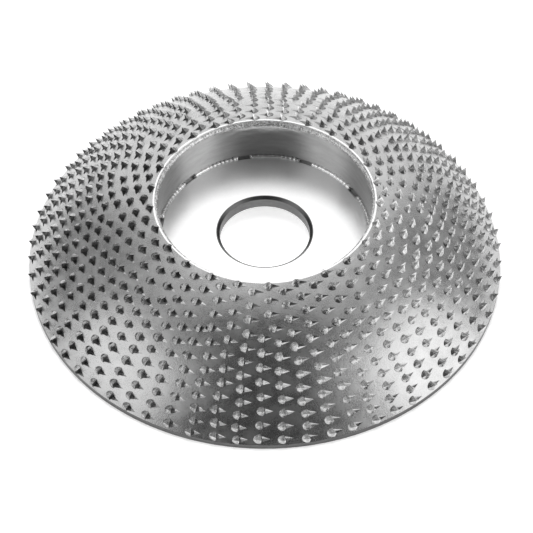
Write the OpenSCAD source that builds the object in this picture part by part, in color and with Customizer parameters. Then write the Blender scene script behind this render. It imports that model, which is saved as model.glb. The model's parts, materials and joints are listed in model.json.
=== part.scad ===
// Carving disc for an angle grinder: a domed steel shell covered in raised
// rasp teeth, carried by a cup with a bored hub plate at its bottom.
// The origin is on the bore's axis, at the back face of the hub plate.
// +Z points out of the cup, towards the toothed working face.

/* [Shell] */
// Outer diameter of the disc, without the teeth
disc_d = 84; // [80:0.5:100]
// Height from the shell's foot to the lip of the cup
overall_h = 14.2; // [12:0.1:17]
// Thickness of the sheet steel
sheet_t = 1.0; // [0.8:0.05:1.2]
// Radius of the arc that the working face follows from the lip to the edge
dome_r = 38.5; // [34:0.5:60]
// Height of the upright band round the outer edge
edge_h = 0.9; // [0.5:0.05:1.2]
// Diameter of the hole in the middle of the shell
mouth_d = 37.9; // [37.6:0.05:39]
// Radius that rounds the edge of that hole
mouth_round = 0.35; // [0.2:0.05:0.5]

/* [Cup] */
// Inner diameter of the cup
cup_d = 37.2; // [36:0.1:37.2]
// Thickness of the cup's wall
cup_t = 1.0; // [0.8:0.05:1.3]
// Depth from the lip of the shell to the floor of the cup
cup_depth = 8.8; // [8:0.1:10]
// Thickness of the hub plate
hub_t = 2.3; // [2:0.1:3]
// Diameter of the arbor bore
bore_d = 16; // [14:0.1:22.3]
// Width and depth of the chamfer at the mouth of the bore
bore_chamfer = 0.45; // [0.2:0.05:0.8]

/* [Welds] */
// Number of weld beads round the floor of the cup
bead_count = 10; // [6:1:16]
// Angle that the gap between two of those beads takes up
bead_gap = 6; // [2:0.5:12]
// Width and depth of the chamfer round the hub plate, which the beads fill
weld_prep = 0.5; // [0.4:0.05:0.7]
// Radius of a weld bead round the floor, less than the chamfer's width
bead_r = 0.45; // [0.3:0.05:0.65]
// Leg of the weld that holds the shell to the cup, on the hidden side
shell_weld_leg = 1.2; // [0.8:0.1:1.8]

/* [Teeth] */
// Number of tooth columns that start at the cup
columns = 51; // [36:3:54]
// Number of teeth in each of those columns
rows = 12; // [8:1:12]
// Distance down the slope from the mouth to the first tooth
first_row = 0.95; // [0.6:0.05:1.5]
// Spacing down the slope of the two rows nearest to the cup
pitch_in = 2.5; // [2.2:0.05:2.5]
// Spacing down the slope of the two rows nearest to the edge
pitch_out = 2.1; // [1.8:0.05:2.1]
// How far down the slope every second column is shifted at the cup
stagger = 1.05; // [0.8:0.05:1.2]
// Share of that shift that has faded away at the last row
stagger_fade = 0.85; // [0.6:0.05:1]
// First row of the filler columns, which start part way down
filler_first = 5; // [4:1:7]
// Length of a tooth's back, from its heel to its widest place
tooth_l = 1.15; // [0.9:0.05:1.3]
// Width of a tooth at its widest place
tooth_w = 1.5; // [1.1:0.05:1.6]
// Height of a tooth above the shell
tooth_h = 1.05; // [0.7:0.05:1.2]
// How far the tip of a tooth leans forward of its widest place
tooth_lean = 0.2; // [0.1:0.05:0.9]
// Angle by which the whole pattern of teeth is turned round the disc
pattern_turn = 123.7; // [0:0.1:180]
// How far a tooth may be off its place, as an angle round the disc
scatter_deg = 0.35; // [0:0.05:0.6]

/* [Hidden] */
$fn = 180;

// Depth to which each tooth is rooted in the shell's steel
root_depth = 0.3;
// Columns in one repeat of the pattern, and repeats round the disc
sector_columns = 3;
sectors = columns / sector_columns;
sector_deg = 360 / sectors;
// Rows over which a column bends aside to make room for the filler
bend_start = 2.5;
bend_rows = 2.5;
// Height on the tooth, as a share of tooth_h, of its widest shoulders
shoulder = 0.5;

rim_z = hub_t + cup_depth;
foot_z = rim_z - overall_h;
disc_r = disc_d / 2;
mouth_r = mouth_d / 2;
cup_r = cup_d / 2;

// Centre of the dome's arc, which passes through the lip and the top of the
// band round the edge
edge_z = foot_z + edge_h;
chord = norm([disc_r - mouth_r, edge_z - rim_z]);
mid = [(disc_r + mouth_r) / 2, (edge_z + rim_z) / 2];
rise = sqrt(pow(dome_r, 2) - pow(chord / 2, 2));
dome_c = mid + rise / chord * [edge_z - rim_z, mouth_r - disc_r];

// Slope of the working face at its inner end, in degrees
lip_slope = asin((mouth_r - dome_c.x) / dome_r);

// Slope, radius and height of the working face at s mm down from the lip
function slope_at(s) = lip_slope + s / dome_r * 180 / PI;
function radius_at(s) = dome_c.x + dome_r * sin(slope_at(s));
function height_at(s) = dome_c.y + dome_r * cos(slope_at(s));

// Distance down the slope of row r, counted from 1, for a column whose
// shift is -1, 0 or +1 times the stagger
function row_s(r, shift) =
    let (k = r - 1, last = rows - 1)
    first_row + pitch_in * k
    - (pitch_in - pitch_out) / (2 * last) * pow(k, 2)
    + shift * stagger * (1 - stagger_fade * pow(k / last, 2));

// How far a column has bent aside at row r: 0 at the cup, 1 beyond the bend
function bend(r) =
    let (t = min(max((r - bend_start) / bend_rows, 0), 1))
    pow(t, 2) * (3 - 2 * t);

// Angle of a place in a sector: even spacing of three columns at the cup
// turns into even spacing of four further out, which leaves the second
// place of the four for the filler
function inner_deg(c) = (c - 1) * sector_deg / 3;
function outer_deg(c) = (c == 0 ? -1.5 : c - 0.5) * sector_deg / 4;
function filler_deg(k) = pattern_turn + (k - 0.125) * sector_deg;
function scatter(n) = scatter_deg * sin(997 * n);
function column_deg(n, r) =
    let (c = n % sector_columns, b = bend(r))
    pattern_turn + floor(n / sector_columns) * sector_deg
    + (1 - b) * inner_deg(c) + b * outer_deg(c)
    + scatter(n + columns * r);

// Half-section of the shell: a band between two arcs with one centre, cut
// upright at the outer edge and flat at the foot
module shell_section() {
    round_c = [mouth_r + mouth_round,
               dome_c.y + sqrt(pow(dome_r - mouth_round, 2)
                               - pow(mouth_r + mouth_round - dome_c.x, 2))];
    tangent = dome_c + dome_r / (dome_r - mouth_round) * (round_c - dome_c);
    difference() {
        intersection() {
            translate(dome_c) circle(dome_r);
            translate([mouth_r, foot_z])
                square([disc_r - mouth_r, overall_h + 1]);
        }
        translate(dome_c) circle(dome_r - sheet_t);
        polygon([[mouth_r - 1, round_c.y], round_c, tangent,
                 [tangent.x, rim_z + 2], [mouth_r - 1, rim_z + 2]]);
    }
    translate(round_c) circle(mouth_round, $fn = 48);
}

module toothed_shell() {
    color("silver") rotate_extrude() shell_section();
}

// The cup's wall reaches up to the underside of the shell
module cup_sleeve() {
    color("darkgray") rotate_extrude() intersection() {
        translate([cup_r, 0]) square([cup_t, rim_z]);
        translate(dome_c) circle(dome_r - sheet_t);
    }
}

// Chamfered at the mouth of the bore and, for the welds, round its top edge
module hub_plate() {
    bore_r = bore_d / 2;
    color("gainsboro") rotate_extrude() polygon([
        [bore_r, 0], [cup_r, 0], [cup_r, hub_t - weld_prep],
        [cup_r - weld_prep, hub_t], [bore_r + bore_chamfer, hub_t],
        [bore_r, hub_t - bore_chamfer]
    ]);
}

// Round-faced beads between the hub plate's chamfer and the cup's wall
module floor_weld_beads() {
    step = 360 / bead_count;
    color("white") for (i = [0:bead_count - 1])
        rotate([0, 0, 90 + i * step - (step - bead_gap) / 2])
            rotate_extrude(angle = step - bead_gap) intersection() {
                translate([cup_r, hub_t]) circle(bead_r, $fn = 48);
                polygon([[cup_r - weld_prep, hub_t], [cup_r, hub_t - weld_prep],
                         [cup_r, hub_t + 1], [cup_r - weld_prep, hub_t + 1]]);
            }
}

// Fillet under the shell, round the outside of the cup's wall
module shell_weld() {
    wall_r = cup_r + cup_t;
    wall_z = dome_c.y + sqrt(pow(dome_r - sheet_t, 2)
                             - pow(wall_r - dome_c.x, 2));
    color("dimgray") rotate_extrude() intersection() {
        translate(dome_c) circle(dome_r - sheet_t);
        polygon([[wall_r, wall_z + 1], [wall_r, wall_z - shell_weld_leg],
                 [wall_r + shell_weld_leg + 1, wall_z + 1]]);
    }
}

// One raised tooth: X down the slope, Y forward, Z off the shell. Its back
// is a keeled ramp with two shoulders, and its flat front leans forward like
// a claw.
module tooth() {
    w = tooth_w / 2;
    front = function (z) tooth_lean * (z + root_depth) / (tooth_h + root_depth);
    mid_z = shoulder * tooth_h;
    polyhedron(
        points = [[0, -tooth_l, -root_depth / 2],
                  [w, 0, -root_depth], [-w, 0, -root_depth],
                  [0.7 * w, front(mid_z), mid_z],
                  [-0.7 * w, front(mid_z), mid_z],
                  [0, front(tooth_h), tooth_h]],
        faces = [[0, 1, 2], [1, 3, 5, 4, 2],
                 [0, 3, 1], [0, 5, 3], [0, 4, 5], [0, 2, 4]]);
}

module place_tooth(angle, s) {
    rotate([0, 0, angle]) translate([radius_at(s), 0, height_at(s)])
        rotate([0, slope_at(s), 0]) tooth();
}

// Every second column's tooth of row r. Ring a has first = 0, and ring b has
// first = 1 and lies further down the slope.
module tooth_ring(r, first) {
    color("lightgray") for (n = [first:2:columns - 1])
        place_tooth(column_deg(n, r), row_s(r, first));
}

module filler_ring(r) {
    color("whitesmoke") for (k = [0:sectors - 1])
        place_tooth(filler_deg(k) + scatter(-k - columns * r),
                    row_s(r, -0.8));
}

toothed_shell();
cup_sleeve();
hub_plate();
floor_weld_beads();
shell_weld();
for (r = [1:rows]) {
    tooth_ring(r, 0);
    tooth_ring(r, 1);
    if (r >= filler_first)
        filler_ring(r);
}
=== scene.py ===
import json
import math

import bmesh
import bpy
import numpy as np
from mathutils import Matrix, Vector


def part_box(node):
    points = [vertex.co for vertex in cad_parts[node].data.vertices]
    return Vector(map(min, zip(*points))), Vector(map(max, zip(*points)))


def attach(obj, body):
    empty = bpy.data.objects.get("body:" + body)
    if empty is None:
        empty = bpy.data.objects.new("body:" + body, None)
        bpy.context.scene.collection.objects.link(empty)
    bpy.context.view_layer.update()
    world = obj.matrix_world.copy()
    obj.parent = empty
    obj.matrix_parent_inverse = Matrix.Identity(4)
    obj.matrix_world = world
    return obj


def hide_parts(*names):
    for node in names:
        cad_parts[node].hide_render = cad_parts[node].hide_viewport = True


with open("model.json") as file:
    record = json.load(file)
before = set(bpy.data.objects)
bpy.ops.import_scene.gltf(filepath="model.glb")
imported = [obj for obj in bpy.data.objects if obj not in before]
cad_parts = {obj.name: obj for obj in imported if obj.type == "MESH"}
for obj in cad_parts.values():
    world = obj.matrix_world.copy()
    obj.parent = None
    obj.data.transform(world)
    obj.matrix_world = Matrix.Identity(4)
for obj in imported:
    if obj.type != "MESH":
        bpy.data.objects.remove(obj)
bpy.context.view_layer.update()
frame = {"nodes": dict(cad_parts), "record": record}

# A carving disc for an angle grinder: a domed steel shell with raised teeth,
# carried by a cup with a bored hub plate. Its working face is up, and its
# hub's back face is at height 0.

# ---------------------------------------------------------------- sizes
MM = 0.001
BODY = "root"

# The shell follows one arc from the mouth of the cup to the disc's edge.
DISC_R = 42.0 * MM
MOUTH_R = 18.95 * MM
DOME_ARC_R = 38.5 * MM
SHEET_T = 1.0 * MM
UNDER_ARC_R = DOME_ARC_R - SHEET_T
EDGE_BAND = 0.9 * MM
CUP_DEPTH = 8.8 * MM
CUP_WALL_T = 1.0 * MM

CUP_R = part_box("hub_plate")[1].x
HUB_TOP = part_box("hub_plate")[1].z
FOOT_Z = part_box("toothed_shell")[0].z
LIP_Z = HUB_TOP + CUP_DEPTH
BORE_R = next(mount["dims"]["r_mm"] * MM for mount in frame["record"]["mounts"]
              if mount["name"] == "arbor_bore")
BORE_CHAMFER = 0.45 * MM
BORE_RIM = 0.6 * MM
WELD_PREP = 0.5 * MM

# Revolved pieces have one section for each degree.
TURNS = 360


def dome_centre():
    """Centre of the dome's arc, as a radius and a height."""
    lip = np.array([MOUTH_R, LIP_Z])
    edge = np.array([DISC_R, FOOT_Z + EDGE_BAND])
    chord = edge - lip
    length = np.linalg.norm(chord)
    rise = math.sqrt(DOME_ARC_R ** 2 - (length / 2) ** 2)
    return (lip + edge) / 2 + rise / length * np.array([chord[1], -chord[0]])


DOME_C = dome_centre()


def height_on_arc(radius, arc_r):
    """Height of an arc about the dome's centre, at a distance from the axis."""
    return DOME_C[1] + math.sqrt(arc_r ** 2 - (radius - DOME_C[0]) ** 2)


def sin_deg(angle):
    return math.sin(math.radians(angle))


def cos_deg(angle):
    return math.cos(math.radians(angle))


# ---------------------------------------------------------------- node trees
class Value:
    """An output socket. Arithmetic on it adds Math nodes to its tree."""

    def __init__(self, net, socket):
        self.net = net
        self.socket = socket

    def __add__(self, other):
        return self.net.math("ADD", self, other)

    def __sub__(self, other):
        return self.net.math("SUBTRACT", self, other)

    def __rsub__(self, other):
        return self.net.math("SUBTRACT", other, self)

    def __mul__(self, other):
        return self.net.math("MULTIPLY", self, other)

    __radd__ = __add__
    __rmul__ = __mul__


class Net:
    """A node tree that is built by calls."""

    def __init__(self, tree):
        self.tree = tree
        tree.nodes.clear()

    def add(self, kind, settings=None, sockets=None, output=0):
        """Adds a node, applies its settings, then sets or links its sockets."""
        node = self.tree.nodes.new(kind)
        for name, value in (settings or {}).items():
            setattr(node, name, value)
        for name, value in (sockets or {}).items():
            if isinstance(value, Value):
                self.tree.links.new(value.socket, node.inputs[name])
            else:
                node.inputs[name].default_value = value
        return Value(self, node.outputs[output]) if len(node.outputs) else node

    def math(self, operation, *values):
        return self.add("ShaderNodeMath", {"operation": operation},
                        dict(enumerate(values)))

    def vector(self, operation, *values, output=0):
        return self.add("ShaderNodeVectorMath", {"operation": operation},
                        dict(enumerate(values)), output)

    def part_of(self, vector, letter):
        """The X, Y or Z of a vector."""
        return self.add("ShaderNodeSeparateXYZ", {}, {"Vector": vector}, letter)

    def flattened(self, vector):
        """A vector without its height."""
        return self.vector("MULTIPLY", vector, (1, 1, 0))

    def length(self, vector):
        return self.vector("LENGTH", vector, output="Value")

    def grey(self, level):
        return self.add("ShaderNodeCombineColor", {}, {
            "Red": level, "Green": level, "Blue": level})

    def ramp_up(self, value, low, high):
        """Rises smoothly from 0 at low to 1 at high."""
        return self.add("ShaderNodeMapRange", {"interpolation_type": "SMOOTHSTEP"}, {
            "Value": value, "From Min": low, "From Max": high})


# ---------------------------------------------------------------- steel
# Plain noise seldom leaves this span, which is stretched to 0 to 1.
NOISE_SPAN = (0.27, 0.73)

# The share of lumps, against grain, in a steel's shade and roughness. Then the share
# of its shade that steel loses under painted shade, and of its roughness that
# polished steel loses.
LUMP_SHARE = 0.6
PAINTED_SHADE_LOSS = 0.8
POLISH_LOSS = 0.6

# Drawn or turned steel has its grain drawn out round the axis.
DRAWN = (1, 1, 5)

# Depths under the working face at which a cut starts, at which painted shade darkens
# it, and at which the shell's hidden side starts.
CUT_STARTS = (0.01 * MM, 0.03 * MM)
CUT_SHADE_DEPTHS = (0.12 * MM, 0.42 * MM)
HIDDEN_SIDE = (0.65 * MM, 0.75 * MM)

# Painted shade darkens a tooth towards its foot, between these two depths. The first
# is above the working face.
TOOTH_FOOT_SHADE = (-0.14 * MM, 0.0)


def new_finish(name):
    material = bpy.data.materials.new(name)
    material.use_nodes = True
    return material, Net(material.node_tree)


def object_place(net, scale=(1, 1, 1)):
    """Object coordinates, multiplied by a scale for each axis."""
    place = net.add("ShaderNodeTexCoord", output="Object")
    return net.add("ShaderNodeMapping", {}, {"Vector": place, "Scale": scale})


def noise(net, place, size, detail=2.0, rough=0.5):
    """Noise that spans 0 to 1, with lumps about size metres across."""
    plain = net.add("ShaderNodeTexNoise", {}, {
        "Vector": place, "Scale": 1.0 / size, "Detail": detail,
        "Roughness": rough})
    return net.add("ShaderNodeMapRange", {}, {
        "Value": plain, "From Min": NOISE_SPAN[0], "From Max": NOISE_SPAN[1]})


def between(limits, share):
    return limits[0] + share * (limits[1] - limits[0])


def metal(net, place, shade, rough, grain, lumps, painted_shade=None, polish=None,
          metallic=1.0):
    """Bare steel. Its shade and roughness wander between two limits each. Grain and
    lumps are each a size and a depth in millimetres. Where painted_shade is 1 the
    steel is darkened by painted shade, and where polish is 1 it is smooth."""
    fine = noise(net, place, grain[0] * MM, detail=3.0, rough=0.6)
    broad = noise(net, place, lumps[0] * MM)
    blend = broad * LUMP_SHARE + fine * (1 - LUMP_SHARE)
    tone = between(shade, blend)
    roughness = between(rough, blend)
    # Painted shade: the tone is darkened where shade is asked for.
    if painted_shade:
        tone = tone * (1.0 - painted_shade * PAINTED_SHADE_LOSS)
    if polish:
        roughness = roughness * (1.0 - polish * POLISH_LOSS)
    bump = net.add("ShaderNodeBump", {}, {
        "Strength": 1.0, "Distance": 1.0,
        "Height": fine * (grain[1] * MM) + broad * (lumps[1] * MM)})
    skin = net.add("ShaderNodeBsdfPrincipled", {}, {
        "Base Color": net.grey(tone), "Metallic": metallic,
        "Roughness": roughness, "Normal": bump})
    net.add("ShaderNodeOutputMaterial", {}, {"Surface": skin})


def plain_steel(name, shade, rough, grain, lumps, stretch=(1, 1, 1),
                metallic=1.0):
    """Steel whose finish is the same all over a piece."""
    material, net = new_finish(name)
    metal(net, object_place(net, stretch), shade, rough, grain, lumps,
          metallic=metallic)
    return material


def depth_below_dome(net, place):
    """How far a place lies under the working face."""
    radius = net.length(net.flattened(place))
    offset = net.add("ShaderNodeCombineXYZ", {}, {
        "X": radius - float(DOME_C[0]),
        "Y": net.part_of(place, "Z") - float(DOME_C[1])})
    return DOME_ARC_R - net.length(offset)


def shell_steel():
    """Satin steel, smoother in the cuts, and a little darker there with painted
    shade.
    """
    material, net = new_finish("satin_shell_steel")
    place = object_place(net)
    depth = depth_below_dome(net, place)
    not_hidden = 1.0 - net.ramp_up(depth, *HIDDEN_SIDE)
    # Painted shade: the steel darkens deep in the cuts.
    cut_shade = net.ramp_up(depth, *CUT_SHADE_DEPTHS) * not_hidden
    in_cut = net.ramp_up(depth, *CUT_STARTS) * not_hidden
    metal(net, place, shade=(0.39, 0.65), rough=(0.20, 0.36),
          grain=(0.25, 0.008), lumps=(2.5, 0.012),
          painted_shade=cut_shade * 0.15, polish=in_cut * 0.8)
    return material


def tooth_steel():
    """Mottled steel, with painted shade that darkens the foot of each tooth."""
    material, net = new_finish("raised_tooth_steel")
    place = object_place(net)
    # Painted shade: the steel darkens towards the foot of the tooth.
    foot = net.ramp_up(depth_below_dome(net, place), *TOOTH_FOOT_SHADE)
    metal(net, place, shade=(0.2, 0.82), rough=(0.10, 0.28),
          grain=(0.24, 0.02), lumps=(0.7, 0.03), painted_shade=foot * 0.4)
    return material


# The crest above a tooth's front: lighter steel that is partly wear and partly a
# painted highlight.
def worn_edge_highlight_steel():
    return plain_steel("worn_edge_highlight_steel", shade=(0.55, 0.9),
                       rough=(0.16, 0.36), grain=(0.2, 0.01),
                       lumps=(0.5, 0.02))


# The front of a tooth, in the hollow under its tip: torn metal, made dark as painted
# shade.
def torn_and_shaded_steel():
    return plain_steel("torn_and_shaded_steel", shade=(0.08, 0.34), rough=(0.3, 0.5),
                       grain=(0.2, 0.01), lumps=(0.5, 0.03))


def cup_steel():
    return plain_steel("drawn_cup_steel", shade=(0.30, 0.46),
                       rough=(0.10, 0.22), grain=(0.3, 0.002),
                       lumps=(4.0, 0.015), stretch=DRAWN)


def hub_steel():
    return plain_steel("flat_hub_steel", shade=(0.88, 0.98),
                       rough=(0.28, 0.38), grain=(0.4, 0.002),
                       lumps=(5.0, 0.008), metallic=0.85)


def bored_steel():
    return plain_steel("bored_steel", shade=(0.10, 0.18), rough=(0.3, 0.42),
                       grain=(0.3, 0.003), lumps=(2.0, 0.01), stretch=DRAWN)


def worn_lip_steel():
    return plain_steel("worn_lip_steel", shade=(0.88, 1.0),
                       rough=(0.30, 0.45), grain=(0.3, 0.004),
                       lumps=(1.0, 0.01))


def sheared_steel():
    return plain_steel("sheared_steel", shade=(0.5, 1.0), rough=(0.12, 0.4),
                       grain=(0.25, 0.04), lumps=(0.6, 0.06))


def weld_metal():
    return plain_steel("bright_weld_metal", shade=(0.70, 1.0),
                       rough=(0.12, 0.30), grain=(0.3, 0.012),
                       lumps=(1.0, 0.03))


# ---------------------------------------------------------------- meshes
def new_object(name, mesh, material=None):
    piece = bpy.data.objects.new(name, mesh)
    bpy.context.scene.collection.objects.link(piece)
    if material:
        mesh.materials.append(material)
    return piece


def smooth(mesh, sharp_deg=35.0):
    """Smooth shading, broken at edges that are sharper than an angle."""
    mesh.shade_smooth()
    mesh.set_sharp_from_angle(angle=math.radians(sharp_deg))


def closed_mesh(name, points, faces):
    """A mesh from points and faces, with its faces turned outwards."""
    bm = bmesh.new()
    corners = [bm.verts.new(point) for point in points]
    for face in faces:
        bm.faces.new([corners[i] for i in face])
    bmesh.ops.recalc_face_normals(bm, faces=bm.faces)
    mesh = bpy.data.meshes.new(name)
    bm.to_mesh(mesh)
    bm.free()
    return mesh


def arc(centre, radius, start, end, steps):
    """Points on an arc of (radius, height) pairs, angles in degrees from
    the outward direction."""
    angles = np.radians(np.linspace(start, end, steps + 1))
    return [(centre[0] + radius * math.cos(a), centre[1] + radius * math.sin(a))
            for a in angles]


def skin_faces(sections, width, ringed):
    """Quads from each section to the next, where a section is a loop of
    width points. A ringed skin joins the last section to the first."""
    faces = []
    for i in range(sections if ringed else sections - 1):
        here, there = i * width, (i + 1) % sections * width
        for j in range(width):
            k = (j + 1) % width
            faces.append((here + j, here + k, there + k, there + j))
    return faces


def turned(name, sections):
    """A ring through closed sections of (radius, height) pairs, spread
    evenly round the axis."""
    angles = np.linspace(0, 2 * math.pi, len(sections), endpoint=False)
    points = [(r * math.cos(a), r * math.sin(a), z)
              for a, section in zip(angles, sections) for r, z in section]
    return closed_mesh(name, points,
                       skin_faces(len(sections), len(sections[0]), ringed=True))


def revolved(name, outline):
    return turned(name, [outline] * TURNS)


def plain_mesh(piece):
    """The evaluated mesh of a piece, with its modifiers' result in it."""
    graph = bpy.context.evaluated_depsgraph_get()
    mesh = bpy.data.meshes.new_from_object(piece.evaluated_get(graph))
    piece.modifiers.clear()
    return mesh


def joined_mesh(name, pieces):
    """One mesh of several helper pieces, which are removed."""
    joined = bmesh.new()
    for piece in pieces:
        joined.from_mesh(piece.data)
        bpy.data.objects.remove(piece)
    mesh = bpy.data.meshes.new(name)
    joined.to_mesh(mesh)
    joined.free()
    return mesh


def face_centres(mesh):
    """Centre of every face, as a radius and a height."""
    centres = np.empty(len(mesh.polygons) * 3)
    mesh.polygons.foreach_get("center", centres)
    centres = centres.reshape(-1, 3)
    return np.hypot(centres[:, 0], centres[:, 1]), centres[:, 2]


def paint_faces(mesh, chosen, material):
    """Gives the chosen faces another finish."""
    mesh.materials.append(material)
    index = len(mesh.materials) - 1
    for face in np.flatnonzero(chosen):
        mesh.polygons[face].material_index = index


def finish_piece(piece, slot, *nodes):
    """Says which body a piece rides on, and hides the CAD parts that it stands for.
    The slot is not used.
    """
    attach(piece, BODY)
    if nodes:
        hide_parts(*nodes)


# ---------------------------------------------------------------- copies
# A copy's size is drawn with a seed this much above its turn's.
SIZE_SEED_STEP = 100


def placing_tree():
    """Stands a copy of a part on every point, turned by the point's axes,
    with a little seeded scatter in its size and turn. Faces of the part that
    are marked as front or edge get their own finish."""
    tree = bpy.data.node_groups.new("stand_on_shell", "GeometryNodeTree")
    inputs = {}
    for name, kind in (("Points", "Geometry"), ("Part", "Object"),
                       ("Size spread", "Float"), ("Turn spread", "Float"),
                       ("Seed", "Int"), ("Finish", "Material"),
                       ("Front finish", "Material"),
                       ("Edge finish", "Material")):
        inputs[name] = tree.interface.new_socket(
            name, in_out="INPUT", socket_type="NodeSocket" + kind).identifier
    tree.interface.new_socket("Result", in_out="OUTPUT",
                              socket_type="NodeSocketGeometry")
    net = Net(tree)
    given = tree.nodes.new("NodeGroupInput")

    def get(name):
        return Value(net, given.outputs[name])

    def named(name, kind):
        return net.add("GeometryNodeInputNamedAttribute", {"data_type": kind},
                       {"Name": name})

    def scattered(low, high, seed):
        """A random number for each point: sockets 2 and 3 are its limits."""
        return net.add("FunctionNodeRandomValue", {"data_type": "FLOAT"},
                       {2: low, 3: high, "Seed": seed}, 1)

    part = net.add("GeometryNodeObjectInfo", {}, {"Object": get("Part")},
                   "Geometry")
    axes = net.add("FunctionNodeAxesToRotation",
                   {"primary_axis": "Z", "secondary_axis": "X"},
                   {"Primary Axis": named("off", "FLOAT_VECTOR"),
                    "Secondary Axis": named("down", "FLOAT_VECTOR")})
    turn = scattered(get("Turn spread") * -1.0, get("Turn spread"), get("Seed"))
    facing = net.add("FunctionNodeRotateRotation", {"rotation_space": "LOCAL"}, {
        "Rotation": axes,
        "Rotate By": net.add("FunctionNodeAxisAngleToRotation", {},
                             {"Axis": (0, 0, 1), "Angle": turn})})
    size = scattered(1.0 - get("Size spread"), 1.0 + get("Size spread"),
                     get("Seed") + SIZE_SEED_STEP)
    copies = net.add("GeometryNodeInstanceOnPoints", {}, {
        "Points": get("Points"), "Instance": part, "Rotation": facing,
        "Scale": net.add("ShaderNodeCombineXYZ", {},
                         {"X": size, "Y": size, "Z": size})})
    solid = net.add("GeometryNodeRealizeInstances", {}, {"Geometry": copies})
    finished = net.add("GeometryNodeSetMaterial", {},
                       {"Geometry": solid, "Material": get("Finish")})
    for mark, title in (("front", "Front finish"), ("edge", "Edge finish")):
        finished = net.add("GeometryNodeSetMaterial", {}, {
            "Geometry": finished, "Selection": named(mark, "BOOLEAN"),
            "Material": get(title)})
    out = tree.nodes.new("NodeGroupOutput")
    tree.links.new(finished.socket, out.inputs["Result"])
    return tree, inputs


def stand_copies(name, places, part, finish, placing, front_finish=None,
                 edge_finish=None, seed=1, size_spread=0.0, turn_spread=0.0):
    """One plain mesh with a copy of the part at every place. A place is a
    point, the way down the slope and the way off the surface."""
    tree, inputs = placing
    mesh = bpy.data.meshes.new(name)
    mesh.from_pydata([place[0] for place in places], [], [])
    for index, title in ((1, "down"), (2, "off")):
        data = mesh.attributes.new(title, "FLOAT_VECTOR", "POINT").data
        data.foreach_set("vector", np.ravel([place[index] for place in places]))
    piece = new_object(name, mesh)
    modifier = piece.modifiers.new("copies", "NODES")
    modifier.node_group = tree
    for title, value in (("Part", part), ("Size spread", size_spread),
                         ("Turn spread", turn_spread), ("Seed", seed),
                         ("Finish", finish),
                         ("Front finish", front_finish or finish),
                         ("Edge finish", edge_finish or finish)):
        modifier[inputs[title]] = value
    piece.data = plain_mesh(piece)
    return piece


# ---------------------------------------------------------------- teeth
# A tooth's back runs from its heel to its widest place, at the front.
BACK_L = 1.05 * MM
HALF_W = 0.77 * MM
KEEL_H = 0.8 * MM
KEEL_CURVE = 0.8
TIP_LEAN = 0.26 * MM
TIP_H = 1.05 * MM
ROOT = 0.25 * MM
FRONT_ROOT = 0.65 * MM
HEEL_ANGLES = (14, 32, 52, 71, 90)

# The hollow of the front is deepest here, behind and above its foot.
HOLLOW_BACK = 0.12 * MM
HOLLOW_H = 0.3 * MM

CUT_L = 1.75 * MM
CUT_HALF_W = 0.58 * MM
CUT_DEPTH = 0.34 * MM

# How far a wedge reaches back under its tooth and out of the shell.
CUT_OVERLAP = 0.1 * MM

SCATTER = {"size_spread": 0.07, "turn_spread": math.radians(6)}

# Corners of a CAD tooth that are closer than this are one corner.
SAME_CORNER = 0.01 * MM


def tooth_section(half, keel, y, root):
    """Across one tooth: root, edge, keel, edge and root."""
    return [(-half, y, -root), (-half, y, 0), (0, y, keel),
            (half, y, 0), (half, y, -root)]


def tooth_mesh():
    """One raised tooth: X down the slope, Y forward, Z off the shell. Its back is
    two flanks that meet in a keel behind a round heel, and its hollow front leans
    over the cut. Face attributes mark the front, which takes a dark finish that is
    partly torn metal and partly painted shade, and the worn edge above it, which
    takes a lighter finish that is partly wear and partly a painted highlight."""
    points = []
    for angle in HEEL_ANGLES:
        back = BACK_L * cos_deg(angle)
        points += tooth_section(HALF_W * sin_deg(angle),
                                KEEL_H * (1 - back / BACK_L) ** KEEL_CURVE, -back,
                                FRONT_ROOT if angle == HEEL_ANGLES[-1] else ROOT)
    sections = len(HEEL_ANGLES)
    width = len(points) // sections
    faces = [tuple(range(width))] + skin_faces(sections, width, ringed=False)
    low_left, left, keel, right, low_right = range((sections - 1) * width,
                                                   sections * width)
    tip, hollow = len(points), len(points) + 1
    points += [(0, TIP_LEAN, TIP_H), (0, -HOLLOW_BACK, HOLLOW_H)]
    faces += [(left, keel, tip), (keel, right, tip)]
    front = len(faces)
    faces += [(left, tip, hollow), (tip, right, hollow), (left, hollow, right),
              (low_left, left, right, low_right)]
    mesh = closed_mesh("tooth", points, faces)
    smooth(mesh, sharp_deg=30.0)
    for name, marked in (("front", range(front, len(faces))),
                         ("edge", range(front - 2, front))):
        mark = mesh.attributes.new(name, "BOOLEAN", "FACE").data
        for index in marked:
            mark[index].value = True
    return mesh


def cut_mesh():
    """The wedge that leaves the tapering cut in front of a tooth."""
    back, over = -CUT_OVERLAP, CUT_OVERLAP
    rise = (CUT_L - back) / CUT_DEPTH
    half = CUT_HALF_W * (1 + over / CUT_DEPTH)
    points = [(0, back, -CUT_DEPTH), (0, CUT_L + over * rise, over),
              (-half, back, over), (half, back, over)]
    return closed_mesh("cut", points,
                       [(0, 1, 2), (0, 3, 1), (1, 3, 2), (0, 2, 3)])


def height_off_dome(point):
    radius = math.hypot(point[0], point[1])
    return math.hypot(radius - DOME_C[0], point[2] - DOME_C[1]) - DOME_ARC_R


def tooth_place(corners):
    """The foot of one tooth is midway between its two lowest corners."""
    low = sorted(corners, key=height_off_dome)[:2]
    middle = (low[0] + low[1]) / 2
    around = math.atan2(middle[1], middle[0])
    slope = math.atan2(math.hypot(middle[0], middle[1]) - DOME_C[0],
                       middle[2] - DOME_C[1])
    out = np.array([math.cos(around), math.sin(around), 0])
    up = np.array([0, 0, 1])
    off = math.sin(slope) * out + math.cos(slope) * up
    down = math.cos(slope) * out - math.sin(slope) * up
    centre = DOME_C[0] * out + DOME_C[1] * up
    return centre + DOME_ARC_R * off, down, off


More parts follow.
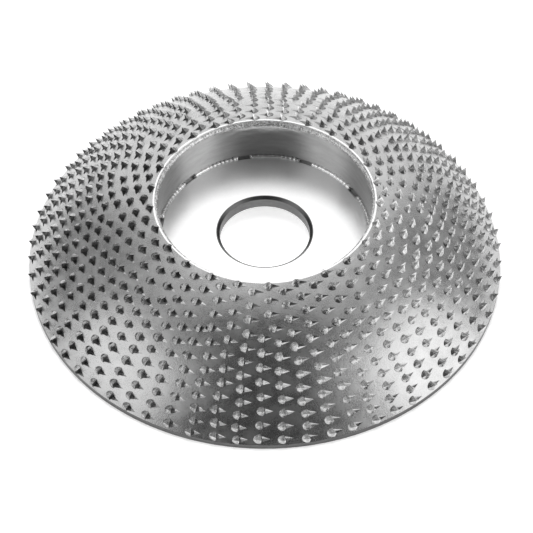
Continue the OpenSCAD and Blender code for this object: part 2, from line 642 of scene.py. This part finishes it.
def tooth_places(node):
    """Where the teeth of a CAD ring stand: one place for each solid."""
    bm = bmesh.new()
    bm.from_mesh(frame["nodes"][node].data)
    bmesh.ops.remove_doubles(bm, verts=bm.verts, dist=SAME_CORNER)
    bm.verts.ensure_lookup_table()
    seen, places = set(), []
    for start in bm.verts:
        if start in seen:
            continue
        solid, queue = [], [start]
        seen.add(start)
        while queue:
            corner = queue.pop()
            solid.append(np.array(corner.co))
            for edge in corner.link_edges:
                other = edge.other_vert(corner)
                if other not in seen:
                    seen.add(other)
                    queue.append(other)
        places.append(tooth_place(solid))
    bm.free()
    return places


def teeth_and_cutter(placing):
    """Stands the teeth of every ring on the shell. Gives back one piece with
    a wedge for each of those teeth."""
    raised, torn, worn = tooth_steel(), torn_and_shaded_steel(), worn_edge_highlight_steel()
    tooth = new_object("one_tooth", tooth_mesh())
    wedge = new_object("one_cut", cut_mesh())
    cuts = []
    rings = sorted(node for node in frame["nodes"] if "tooth_ring" in node)
    for seed, node in enumerate(rings):
        places = tooth_places(node)
        # Fronts take torn steel darkened as painted shade, and crests take worn
        # steel lightened as a painted highlight.
        ring = stand_copies(node.replace("tooth_ring", "teeth"), places, tooth,
                            raised, placing, torn, worn, seed, **SCATTER)
        finish_piece(ring, "tooth_steel", node)
        cuts.append(stand_copies("cuts_" + node, places, wedge, raised,
                                 placing, seed=seed, **SCATTER))
    for helper in (tooth, wedge):
        bpy.data.objects.remove(helper)
    return new_object("all_cuts", joined_mesh("all_cuts", cuts))


# ---------------------------------------------------------------- shell
# A flat land is worn round the mouth.
LAND_W = 0.36 * MM
LIP_ROUND = 0.12 * MM
EDGE_ROUND = 0.15 * MM

# The shell's upright walls are the faces this close to their radius.
MOUTH_SLACK = 0.02 * MM
EDGE_SLACK = 0.05 * MM

# A face belongs to the working face if its corners are this close to the
# arc and its tilt is the arc's, as a cosine. LEVEL is the cosine above which
# a face is the level land.
ON_DOME = 0.004 * MM
DOME_TILT = 0.9975
LEVEL = 0.999

# The torn band lies in the mouth, from its top to its foot below the lip.
BAND_TOP = 0.38 * MM
BAND_FOOT = 1.0 * MM
BAND_ROWS = 7
BAND_TURNS = 720
BAND_SEED = 11
SMOOTH_REACH = 3

# It stands in from the mouth by a step and a swell that grows quickly, with
# bumps on its face and a ragged foot. It is sunk at the top, and rooted in
# the sheet.
BAND_STEP = 0.02 * MM
BAND_SWELL = 0.42 * MM
BAND_GROWTH = 2.4
BAND_BUMPS = 0.06 * MM
BAND_RAGGED = 0.16 * MM
BAND_SUNK = 0.03 * MM
BAND_ROOT = 0.1 * MM


def bearing(point):
    """Direction of a (radius, height) point from the dome's centre."""
    return math.degrees(math.atan2(point[1] - DOME_C[1], point[0] - DOME_C[0]))


def shell_outline():
    """Half-section of the shell, from the mouth over the dome to the edge
    and back along the underside."""
    land_end = (MOUTH_R + LAND_W, height_on_arc(MOUTH_R + LAND_W, DOME_ARC_R))
    lip_c = (MOUTH_R + LIP_ROUND, land_end[1] - LIP_ROUND)
    edge_x = DISC_R - EDGE_ROUND
    edge_c = (edge_x, height_on_arc(edge_x, DOME_ARC_R - EDGE_ROUND))
    foot_r = DOME_C[0] + math.sqrt(UNDER_ARC_R ** 2 - (FOOT_Z - DOME_C[1]) ** 2)
    under_foot = bearing((foot_r, FOOT_Z))
    under_lip = bearing((MOUTH_R, height_on_arc(MOUTH_R, UNDER_ARC_R)))
    outline = arc(lip_c, LIP_ROUND, 180, 90, steps=4)
    outline += arc(DOME_C, DOME_ARC_R, bearing(land_end), bearing(edge_c),
                   steps=44)
    outline += arc(edge_c, EDGE_ROUND, bearing(edge_c), 0, steps=4)[1:]
    outline += [(DISC_R, FOOT_Z)]
    outline += arc(DOME_C, UNDER_ARC_R, under_foot, under_lip, steps=24)
    return outline


def dome_normals(mesh):
    """Gives the working face the true normals of its arc, so that the cuts
    leave no shading marks round them."""
    co = np.empty(len(mesh.vertices) * 3)
    mesh.vertices.foreach_get("co", co)
    co = co.reshape(-1, 3)
    radius = np.hypot(co[:, 0], co[:, 1])
    offset = np.stack([radius - DOME_C[0], co[:, 2] - DOME_C[1]], 1)
    length = np.linalg.norm(offset, axis=1)
    on_dome = np.abs(length - DOME_ARC_R) < ON_DOME
    true = np.stack([offset[:, 0] / length * co[:, 0] / radius,
                     offset[:, 0] / length * co[:, 1] / radius,
                     offset[:, 1] / length], 1)
    normals = np.empty(len(mesh.loops) * 3)
    mesh.corner_normals.foreach_get("vector", normals)
    normals = normals.reshape(-1, 3)
    for face in mesh.polygons:
        corners = list(face.vertices)
        if on_dome[corners].all() and true[corners[0]] @ face.normal > DOME_TILT:
            normals[list(face.loop_indices)] = true[corners]
        elif face.normal.z > LEVEL:
            normals[list(face.loop_indices)] = (0, 0, 1)
    mesh.normals_split_custom_set(normals.tolist())


def toothed_shell(cutter):
    """The domed sheet, with the cuts of all the teeth taken out of it."""
    mesh = revolved("toothed_shell_steel", shell_outline())
    shell = new_object("domed_shell", mesh, shell_steel())
    cutting = shell.modifiers.new("cuts", "BOOLEAN")
    cutting.operation = "DIFFERENCE"
    cutting.solver = "MANIFOLD"
    cutting.object = cutter
    shell.data = plain_mesh(shell)
    bpy.data.objects.remove(cutter)
    # The cuts' faces come with the cutter's finish, so all start afresh.
    shell.data.polygons.foreach_set(
        "material_index", np.zeros(len(shell.data.polygons), np.int32))
    smooth(shell.data, sharp_deg=30.0)
    dome_normals(shell.data)
    radius, _ = face_centres(shell.data)
    paint_faces(shell.data, radius < MOUTH_R + LAND_W, worn_lip_steel())
    paint_faces(shell.data, radius < MOUTH_R + MOUTH_SLACK, sheared_steel())
    paint_faces(shell.data, radius > DISC_R - EDGE_SLACK, bored_steel())
    finish_piece(shell, "shell_steel", "toothed_shell")


def uneven(rng, turns, rows, smooth_share):
    """Seeded noise round a ring, about -1 to 1. A share of it is smooth: the
    mean of each place and its neighbours, twice as strong."""
    fine = rng.uniform(-1, 1, (turns, rows))
    window = range(-SMOOTH_REACH, SMOOTH_REACH + 1)
    broad = sum(np.roll(fine, k, axis=0) for k in window) / len(window) * 2
    return smooth_share * broad + (1 - smooth_share) * fine


def sheared_edge():
    """The torn band where the mouth was punched out of the sheet."""
    rng = np.random.default_rng(BAND_SEED)
    bumps = uneven(rng, BAND_TURNS, BAND_ROWS, smooth_share=0.4)
    ragged = uneven(rng, BAND_TURNS, 1, smooth_share=0.7)[:, 0]
    top = LIP_Z - BAND_TOP
    sections = []
    for i in range(BAND_TURNS):
        foot = LIP_Z - BAND_FOOT + BAND_RAGGED * ragged[i]
        section = [(MOUTH_R + BAND_SUNK, top)]
        for j in range(1, BAND_ROWS):
            share = j / (BAND_ROWS - 1)
            swell = math.sin(min(share * BAND_GROWTH, math.pi / 2))
            inward = BAND_STEP + BAND_SWELL * swell + BAND_BUMPS * bumps[i][j]
            section.append((MOUTH_R - inward, top + (foot - top) * share))
        section += [(MOUTH_R + BAND_ROOT, foot), (MOUTH_R + BAND_ROOT, top)]
        sections.append(section)
    mesh = turned("sheared_edge", sections)
    smooth(mesh, sharp_deg=25.0)
    band = new_object("sheared_edge", mesh, sheared_steel())
    finish_piece(band, "shell_steel")


# ---------------------------------------------------------------- cup
CUP_LIP = 0.2 * MM

# Faces above this height are all of the hub plate but its back.
HUB_BACK = 0.1 * MM

BEAD_R = 0.45 * MM
BEAD_COUNT = 10
BEAD_GAP_DEG = 6.0
FIRST_BEAD_DEG = 84
BEAD_STEPS = 40
BEAD_SIDES = 14

# Depth and pace of a bead's two ripples, and how bluntly it ends.
BEAD_RIPPLES = ((0.08, 1.9), (0.06, 3.7))
BEAD_BLUNT = 24
BEAD_END = 0.02


def cup_wall():
    """The wall reaches up to the underside of the shell."""
    outer_r = CUP_R + CUP_WALL_T
    lip_c = (CUP_R + CUP_LIP, height_on_arc(CUP_R, UNDER_ARC_R) - CUP_LIP)
    outline = [(CUP_R, 0)]
    outline += arc(lip_c, CUP_LIP, 180, 90, steps=5)
    outline += [(outer_r, height_on_arc(outer_r, UNDER_ARC_R)), (outer_r, 0)]
    mesh = revolved("cup_wall_steel", outline)
    smooth(mesh)
    finish_piece(new_object("cup_wall", mesh, cup_steel()), "cup_steel",
                 "cup_sleeve")


def hub():
    """The plate at the bottom of the cup, with a turned rim round its bore."""
    outline = [(BORE_R, 0), (CUP_R, 0), (CUP_R, HUB_TOP - WELD_PREP),
               (CUP_R - WELD_PREP, HUB_TOP), (BORE_R + BORE_RIM, HUB_TOP),
               (BORE_R + BORE_CHAMFER, HUB_TOP), (BORE_R, HUB_TOP - BORE_CHAMFER)]
    mesh = revolved("hub_steel", outline)
    smooth(mesh)
    plate = new_object("hub_disc", mesh, hub_steel())
    radius, height = face_centres(mesh)
    paint_faces(mesh, (radius < BORE_R + BORE_RIM) & (height > HUB_BACK),
                bored_steel())
    finish_piece(plate, "hub_steel", "hub_plate")


def bead_mesh():
    """One weld bead, an arc of round section that is rippled along its
    length and blunt at both ends."""
    half_deg = (360 / BEAD_COUNT - BEAD_GAP_DEG) / 2
    points = []
    for step in range(BEAD_STEPS + 1):
        share = 2 * step / BEAD_STEPS - 1
        around = math.radians(half_deg * share)
        ripple = sum((depth * math.sin(step * pace)
                      for depth, pace in BEAD_RIPPLES), 1)
        radius = BEAD_R * ripple * math.sqrt(max(1 - abs(share) ** BEAD_BLUNT,
                                                 BEAD_END))
        for side in range(BEAD_SIDES):
            a = 2 * math.pi * side / BEAD_SIDES
            r = CUP_R + radius * math.cos(a)
            points.append((r * math.cos(around), r * math.sin(around),
                           HUB_TOP + radius * math.sin(a)))
    faces = skin_faces(BEAD_STEPS + 1, BEAD_SIDES, ringed=False)
    faces += [tuple(range(BEAD_SIDES)),
              tuple(range(BEAD_STEPS * BEAD_SIDES, (BEAD_STEPS + 1) * BEAD_SIDES))]
    mesh = closed_mesh("bead", points, faces)
    smooth(mesh, sharp_deg=50.0)
    return mesh


def floor_beads(finish, placing):
    """The beads round the hub plate: each copy turns about the axis."""
    bead = new_object("one_bead", bead_mesh())
    places = []
    for i in range(BEAD_COUNT):
        around = math.radians(FIRST_BEAD_DEG + i * 360 / BEAD_COUNT)
        down = np.array([math.cos(around), math.sin(around), 0])
        places.append((np.zeros(3), down, np.array([0, 0, 1.0])))
    beads = stand_copies("floor_beads", places, bead, finish, placing)
    bpy.data.objects.remove(bead)
    finish_piece(beads, "weld_metal", "floor_weld_beads")


# ---------------------------------------------------------------- stage
CAMERA_TILT_DEG = 49.08
CAMERA_RANGE = 252 * MM
SENSOR_W = 36
LENS = 94.56
SHIFT = (0.0032, -0.0295)
FLOOR_HALF = 2.0
FLOOR_TONE = (0.86, 0.86, 0.86, 1.0)
LAMP_PLACE = (0, 0.2, 1.2)

# The floor shines most under the bore: radii between which that fades, and
# the share of its glow that is lost.
GLOW_FADES = (9 * MM, 16 * MM)
GLOW_LOSS = 0.6

# Strength of the room's light where there is no panel, and of the ceiling.
ROOM_LIGHT = 0.45
CEILING_LIGHT = 0.5

# The ceiling starts between these elevations, in degrees. It is lit on the
# far side of the disc and unlit on the near side, except out to the sides.
# How far a ray points to the far side, and to either side, tells which.
CEILING_STARTS = (48, 62)
FAR_SIDE = (-0.1, 0.2)
OUT_TO_SIDE = (0.18, 0.42)
UNLIT_LOSS = 0.78


def camera():
    data = bpy.data.cameras.new("camera")
    data.sensor_width = SENSOR_W
    data.lens = LENS
    data.shift_x, data.shift_y = SHIFT
    data.clip_start = 10 * MM
    eye = bpy.data.objects.new("camera", data)
    bpy.context.scene.collection.objects.link(eye)
    aim = Vector((0, 0, FOOT_Z))
    away = Vector((0, -cos_deg(CAMERA_TILT_DEG), sin_deg(CAMERA_TILT_DEG)))
    eye.location = aim + CAMERA_RANGE * away
    eye.rotation_mode = "QUATERNION"
    eye.rotation_quaternion = (aim - eye.location).to_track_quat("-Z", "Y")
    bpy.context.scene.camera = eye


def floor_paint():
    """A pale floor that is clear from below, so that it never hides the
    hollow side."""
    material, net = new_finish("pale_floor")
    place = net.add("ShaderNodeTexCoord", output="Object")
    glow = 1.0 - net.ramp_up(net.length(place), *GLOW_FADES) * GLOW_LOSS
    skin = net.add("ShaderNodeBsdfPrincipled", {}, {
        "Base Color": FLOOR_TONE, "Roughness": 0.9,
        "Emission Color": net.grey(glow), "Emission Strength": 0.5})
    clear = net.add("ShaderNodeBsdfTransparent")
    below = net.add("ShaderNodeNewGeometry", output="Backfacing")
    both = net.add("ShaderNodeMixShader", {}, {0: below, 1: skin, 2: clear})
    net.add("ShaderNodeOutputMaterial", {}, {"Surface": both})
    return material


def floor():
    mesh = bpy.data.meshes.new("floor")
    corners = ((-1, -1), (1, -1), (1, 1), (-1, 1))
    mesh.from_pydata([(x * FLOOR_HALF, y * FLOOR_HALF, FOOT_Z)
                      for x, y in corners], [], [(0, 1, 2, 3)])
    new_object("floor", mesh, floor_paint())


def studio():
    """A soft room: a bright far wall, a lamp above it, a window on each
    side and an unlit part in front."""
    world = bpy.data.worlds.new("studio")
    bpy.context.scene.world = world
    world.use_nodes = True
    net = Net(world.node_tree)
    ray = net.add("ShaderNodeTexCoord", output="Generated")
    level = net.vector("NORMALIZE", net.flattened(ray))
    height = net.part_of(ray, "Z")

    def panel(azimuth, half_width, low, high, soft):
        """1 on a panel of the room and 0 off it. All are in degrees, and the
        azimuth is anticlockwise from +X."""
        toward = (cos_deg(azimuth), sin_deg(azimuth), 0)
        facing = net.vector("DOT_PRODUCT", level, toward, output="Value")
        across = net.ramp_up(facing, cos_deg(half_width + soft),
                             cos_deg(half_width - soft))
        above = net.ramp_up(height, sin_deg(low - soft), sin_deg(low + soft))
        below = net.ramp_up(height, sin_deg(high - soft), sin_deg(high + soft))
        return across * above * (1.0 - below)

    far_wall = panel(azimuth=91, half_width=36, low=-70, high=43, soft=10)
    far_lamp = panel(azimuth=90, half_width=22, low=42, high=64, soft=6)
    right_window = panel(azimuth=345, half_width=22, low=-4, high=50, soft=8)
    left_window = panel(azimuth=200, half_width=24, low=10, high=50, soft=6)
    unlit_wall = panel(azimuth=268, half_width=32, low=-12, high=80, soft=8)

    ceiling = net.ramp_up(height, *map(sin_deg, CEILING_STARTS))
    far = net.ramp_up(net.part_of(ray, "Y"), *FAR_SIDE)
    sideways = net.ramp_up(net.math("ABSOLUTE", net.part_of(ray, "X")),
                           *OUT_TO_SIDE)
    light = (ROOM_LIGHT + far_wall * 1.05 + far_lamp * 1.5
             + right_window * 1.8 + left_window * 1.25
             + ceiling * far * CEILING_LIGHT)
    unlit = net.math("MAXIMUM", unlit_wall,
                     ceiling * (1.0 - far) * (1.0 - sideways))
    shine = net.add("ShaderNodeBackground", {},
                    {"Strength": light * (1.0 - unlit * UNLIT_LOSS)})
    net.add("ShaderNodeOutputWorld", {}, {"Surface": shine})


def floor_light():
    """Lifts the floor's white, and doesn't show in the steel."""
    data = bpy.data.lights.new("floor_light", "AREA")
    data.shape = "DISK"
    data.size = 1.2
    data.energy = 12.0
    lamp = bpy.data.objects.new("floor_light", data)
    bpy.context.scene.collection.objects.link(lamp)
    lamp.location = LAMP_PLACE
    lamp.rotation_mode = "QUATERNION"
    lamp.rotation_quaternion = (-lamp.location).to_track_quat("-Z", "Y")
    lamp.visible_glossy = False


# ---------------------------------------------------------------- build
camera()
floor()
studio()
floor_light()

placing = placing_tree()
toothed_shell(teeth_and_cutter(placing))
sheared_edge()
cup_wall()
hub()
welds = weld_metal()
floor_beads(welds, placing)
frame["nodes"]["shell_weld"].material_slots[0].material = welds

bpy.context.scene.view_settings.view_transform = "Standard"
